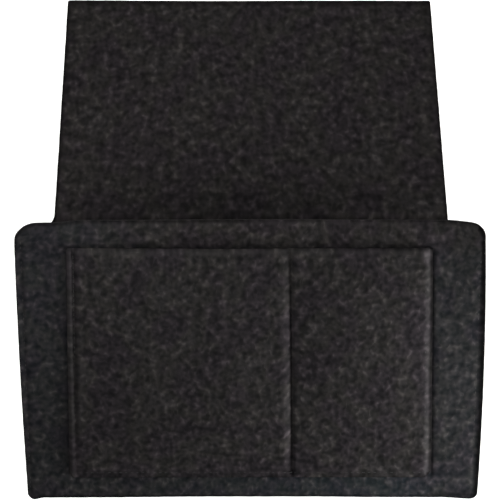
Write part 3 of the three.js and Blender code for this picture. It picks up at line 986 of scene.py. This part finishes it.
def patch_sheet():
    left = row_x("pocket_left", patch_high.z)
    right = row_x("pocket_right", patch_high.z)
    bottom = LINES["pocket_bottom"][0][1]
    across = grid_lines(
        PATCH_LEFT,
        PATCH_RIGHT,
        edges=[(PATCH_LEFT, 1), (PATCH_RIGHT, -1)],
        rows=[left, right, DIVIDER],
    )
    along = grid_lines(
        patch_low.z,
        patch_high.z,
        edges=[(patch_low.z, 1), (patch_high.z, -1)],
        rows=[bottom],
    )
    felt = flat_felt("pocket_patch_sheet", across, along)
    flat = read_points(felt.data)
    from_left = flat[:, 0] - PATCH_LEFT
    from_right = PATCH_RIGHT - flat[:, 0]
    from_bottom = flat[:, 1] - patch_low.z
    from_top = patch_high.z - flat[:, 1]
    from_side = np.minimum(from_left, from_right)
    by_left = from_left < from_right
    new_side, new_bottom = rounded(from_side, from_bottom, np.where(by_left, *PATCH_CORNERS))
    top_x = np.where(by_left, PATCH_LEFT + new_side, PATCH_RIGHT - new_side)
    z = patch_low.z + new_bottom
    x = top_x + patch_shift(top_x, z)

    # The rows pull grooves into the felt. The divider's is wider on its left, and narrows downwards on its
    # right. The left row's is deeper near the mouth.
    on_left = top_x < DIVIDER
    divider_on_right = np.interp(z, PATCH_HEIGHTS, DIVIDER_WIDTHS_ON_RIGHT)
    divider_width = np.where(on_left, DIVIDER_WIDTH_ON_LEFT, divider_on_right)
    left_share = np.interp(z, PATCH_HEIGHTS, LEFT_GROOVE_SHARES)
    held_by = {
        "pocket_left": beside_row(x, z, "pocket_left", LEFT_GROOVE_WIDTH, ROW_TO_MOUTH) * left_share,
        "pocket_right": beside_row(x, z, "pocket_right", run_on=ROW_TO_MOUTH),
        "pocket_divider": beside_row(x, z, "pocket_divider", divider_width, ROW_TO_MOUTH),
        "pocket_bottom": beside_row(x, z, "pocket_bottom"),
    }
    groove = np.maximum.reduce([GROOVES[row] * share for row, share in held_by.items()])
    held = np.maximum.reduce(list(held_by.values()))

    # The two pockets swell between their rows, fuller below the mouth than at it. The left one falls off
    # steeply at the divider.
    pocket_left = np.where(on_left, left, DIVIDER)
    pocket_right = np.where(on_left, DIVIDER, right)
    place = np.clip((top_x - pocket_left) / (pocket_right - pocket_left), 0, 1)
    swell = np.where(on_left, eased(place, 0, LEFT_POCKET_FULL), 4 * place * (1 - place))
    rise = eased(z, bottom, bottom + np.where(on_left, *POCKET_RISES))
    at_mouth = eased(z, patch_high.z - MOUTH_BAND, patch_high.z)
    full = np.where(on_left, *POCKET_LIFTS) * rise
    crest = CREST * near(x - CREST_X, CREST_WIDTH) * rise * np.interp(z, PATCH_HEIGHTS, CREST_SHARES)
    lift = (swell * (full * (1 - at_mouth) + MOUTH_LIFT * at_mouth) + crest) * np.maximum(1 - held, 0)

    # The edges roll down to the panel, and the mouth rolls back
    at_side = rolled_off(from_side, np.where(by_left, *SIDE_ROLLS))
    rolled = np.maximum(at_side, BOTTOM_SHARE * rolled_off(from_bottom, BOTTOM_ROLL))
    thick = FELT - (FELT - ROLLED_EDGE) * rolled
    thick = thick - groove - MOUTH_TUCK * rolled_off(from_top, MOUTH_ROLL)
    thick = np.maximum(thick, ROLLED_EDGE) * edge_share(from_top)
    write_points(felt, x, PATCH_REAR_Y - lift - thick / 2, z)

    # Nap, with painted shade and painted highlights
    # Painted shade along the patch's sewn edges, in the crevices where it meets the panel
    painted_shade_left = PATCH_LEFT_SHADE * near(from_side, PATCH_LEFT_STRIP, SHARP)
    right_strip = np.interp(z, PATCH_HEIGHTS, PATCH_RIGHT_STRIPS)
    painted_shade_right = PATCH_RIGHT_SHADE * near(from_side, right_strip, SHARP)
    dark_sides = np.where(by_left, painted_shade_left, painted_shade_right)
    painted_shade_bottom = PATCH_BOTTOM_SHADE * near(from_bottom, PATCH_BOTTOM_STRIP)
    seamed = GROOVE_PRESSED * (groove / MM) ** 2
    pulled = np.interp(z, PATCH_HEIGHTS, LEFT_ROW_PRESSED) * near(top_x - left - LEFT_ROW_AT, LEFT_ROW_STRIP)
    pressed = np.maximum.reduce([dark_sides, painted_shade_bottom, seamed, pulled])
    # Painted highlights along the patch's rolled edges, beside the divider and at its right corners
    worn = patch_worn(z, from_left, from_right, from_top, from_bottom, top_x - DIVIDER)
    face_forward(felt)
    lay = (flat[:, 0] + PATCH_LAY_X, LAY_DOWN * flat[:, 1], np.zeros(len(flat)))
    thicken(felt, thick / FELT, lay, pressed=pressed, worn=worn, cool=np.full(len(flat), PATCH_COOL))
    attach(felt, "pouch")
    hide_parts("pocket_panel")


# Stitches: short lengths of twisted thread that dive into the felt at both ends

def one_stitch():
    """One stitch along X, its ends bent down."""
    step = STITCH_LENGTH / STITCH_SECTIONS
    bpy.ops.object.select_all(action="DESELECT")
    bpy.ops.mesh.primitive_circle_add(
        vertices=THREAD_SIDES,
        radius=THREAD / 2,
        fill_type="NGON",
        rotation=(0, math.pi / 2, 0),
    )
    stitch = bpy.context.object
    bpy.ops.object.transform_apply(location=False, rotation=True, scale=False)
    bpy.ops.object.mode_set(mode="EDIT")
    bpy.ops.mesh.select_all(action="SELECT")
    bpy.ops.transform.resize(value=(1, 1, THREAD_FLATTENED))
    for section in range(STITCH_SECTIONS):
        bpy.ops.mesh.extrude_region_move(TRANSFORM_OT_translate={"value": (step, 0, 0)})
        bpy.ops.transform.rotate(value=THREAD_TWIST, orient_axis="X", center_override=((section + 1) * step, 0, 0))
    bpy.ops.mesh.select_all(action="SELECT")
    bpy.ops.mesh.normals_make_consistent(inside=False)
    bpy.ops.object.mode_set(mode="OBJECT")
    at = read_points(stitch.data)
    share = at[:, 0] / STITCH_LENGTH * 2 - 1
    write_points(stitch, at[:, 0] - STITCH_LENGTH / 2, at[:, 1], at[:, 2] - STITCH_DIVE * share ** 4)
    return stitch


def stitch_row(pattern, row, thread, seat_y, outward):
    """One row of stitches on a face of the felt at seat_y, which looks to outward, -1 or 1 along Y."""
    (x0, z0), (x1, z1) = LINES[row]
    length = math.hypot(x1 - x0, z1 - z0)
    along = Vector((x1 - x0, 0, z1 - z0)).normalized()
    up = Vector((0, outward, 0))
    beside = up.cross(along)
    count = int((length - STITCH_LENGTH) / STITCH_PITCH) + 1
    spare = (length - (count - 1) * STITCH_PITCH) / 2
    stitches = pattern.copy()
    stitches.data = pattern.data.copy()
    stitches.name = row + "_" + thread + "_stitches"
    stitches.data.name = stitches.name
    bpy.context.scene.collection.objects.link(stitches)
    apply(
        stitches,
        "ARRAY",
        count=count,
        use_relative_offset=False,
        use_constant_offset=True,
        constant_offset_displace=(STITCH_PITCH, 0, 0),
    )
    start = Vector((x0, seat_y, z0)) + along * spare - up * STITCH_SUNK
    turn = Matrix((along, beside, up)).transposed().to_4x4()
    stitches.data.transform(Matrix.Translation(start) @ turn)
    stitches.data.materials.append(thread_black)
    for polygon in stitches.data.polygons:
        polygon.use_smooth = True
    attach(stitches, "pouch")
    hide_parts(row + "_" + thread + "_thread")


def stitches():
    pattern = one_stitch()
    back_seat = SEWN_BACK_Y + FELT / 2 - BACK_GROOVE
    for row, groove in GROOVES.items():
        if row in SEAMS:
            needle_seat, bobbin_seat = PANEL_FRONT_Y, back_seat
        else:
            needle_seat, bobbin_seat = PATCH_REAR_Y - FELT + rolled_down(row), PANEL_REAR_Y
        stitch_row(pattern, row, "needle", needle_seat + groove, -1)
        stitch_row(pattern, row, "bobbin", bobbin_seat, 1)
    bpy.data.objects.remove(pattern)


hanging_sheet()
front_sheet()
patch_sheet()
stitches()


# Camera at the photograph's view: long lens, in front and above

CAMERA_TARGET = Vector((-0.0007, 0, -0.0249))
CAMERA_DISTANCE = 2.667
CAMERA_ELEVATION = math.radians(35.34)
CAMERA_ROLL = math.radians(-0.05)
CAMERA_LENS = 280.3


def camera():
    data = bpy.data.cameras.new("camera")
    data.sensor_width = 36
    data.lens = CAMERA_LENS
    data.clip_end = 50
    made = bpy.data.objects.new("camera", data)
    bpy.context.scene.collection.objects.link(made)
    back = Vector((0, -math.cos(CAMERA_ELEVATION), math.sin(CAMERA_ELEVATION)))
    right = Vector((1, 0, 0))
    up = back.cross(right)
    across = right * math.cos(CAMERA_ROLL) + up * math.sin(CAMERA_ROLL)
    upright = up * math.cos(CAMERA_ROLL) - right * math.sin(CAMERA_ROLL)
    turn = Matrix((across, upright, back)).transposed().to_4x4()
    made.matrix_world = Matrix.Translation(CAMERA_TARGET + back * CAMERA_DISTANCE) @ turn
    bpy.context.scene.camera = made


camera()


# Floor, lamps and world

FLOOR_Z = -0.45
FLOOR_SIZE = 12
FLOOR_GLOW = 0.75  # to the eye alone, beside the lamps' light on it
WORLD_LIGHT = 0.08
LAMP_AIM = Vector((0, 0.05, -0.09))
LAMPS = {
    # azimuth, elevation, distance, size and power
    "right_key": (73, -18, 0.56, 0.25, 10.2),
    "left_fill": (-36, 30, 0.48, 0.35, 1.6),
    "front_top": (-10, 60, 0.6, 0.4, 1.3),
    "overhead": (180, 60, 1.2, 0.8, 9.8),
    "rear": (180, -5, 1.2, 0.8, 8),
}


def seen_share(tree):
    """1 for what the camera, a reflection or a see-through surface shows, and 0 for light on the part."""
    path = add(tree, "LightPath")
    seen = path.outputs["Is Camera Ray"]
    for ray in ("Is Glossy Ray", "Is Transmission Ray"):
        seen = add(tree, "Math", {"operation": "MAXIMUM"}, {0: seen, 1: path.outputs[ray]}).outputs["Value"]
    return seen


def floor():
    bpy.ops.object.select_all(action="DESELECT")
    bpy.ops.mesh.primitive_plane_add(size=FLOOR_SIZE, location=(0, 0, FLOOR_Z))
    ground = bpy.context.object
    ground.name = "floor"
    bpy.ops.object.transform_apply(location=True, rotation=False, scale=False)
    # Matt white studio floor: white to the eye, with the part's soft shadow left on it
    material, tree = new_material("matt_white_floor")
    glow = add(tree, "Math", {"operation": "MULTIPLY"}, {0: seen_share(tree), 1: FLOOR_GLOW})
    diffuse = add(tree, "BsdfDiffuse", links={"Color": colour("#c9c8c6")})
    lit = add(tree, "Emission", links={"Color": colour("#ffffff"), "Strength": glow.outputs["Value"]})
    both = add(tree, "AddShader", links={0: diffuse.outputs["BSDF"], 1: lit.outputs["Emission"]})
    add(tree, "OutputMaterial", links={"Surface": both.outputs["Shader"]})
    ground.data.materials.append(material)


def lamp(name, azimuth, elevation, distance, size, power):
    """A square soft lamp that faces the part. Azimuth 0 is in front of it and 90 to its right."""
    turn = math.radians(azimuth)
    rise = math.radians(elevation)
    out = Vector((math.sin(turn) * math.cos(rise), -math.cos(turn) * math.cos(rise), math.sin(rise)))
    data = bpy.data.lights.new(name, "AREA")
    data.size = size
    data.energy = power
    made = bpy.data.objects.new(name, data)
    bpy.context.scene.collection.objects.link(made)
    made.location = LAMP_AIM + out * distance
    made.visible_camera = False
    made.rotation_mode = "QUATERNION"
    made.rotation_quaternion = (-out).to_track_quat("-Z", "Y")


def world(strength):
    made = bpy.data.worlds.new("studio")
    bpy.context.scene.world = made
    made.use_nodes = True
    tree = made.node_tree
    tree.nodes.clear()
    level = add(tree, "MapRange", links={"Value": seen_share(tree), "To Min": strength, "To Max": 1.0})
    sky = add(tree, "Background", links={"Color": colour("#ffffff"), "Strength": level.outputs["Result"]})
    add(tree, "OutputWorld", links={"Surface": sky.outputs["Background"]})


floor()
for name, settings in LAMPS.items():
    lamp(name, *settings)
world(WORLD_LIGHT)
bpy.context.scene.view_settings.view_transform = "Standard"
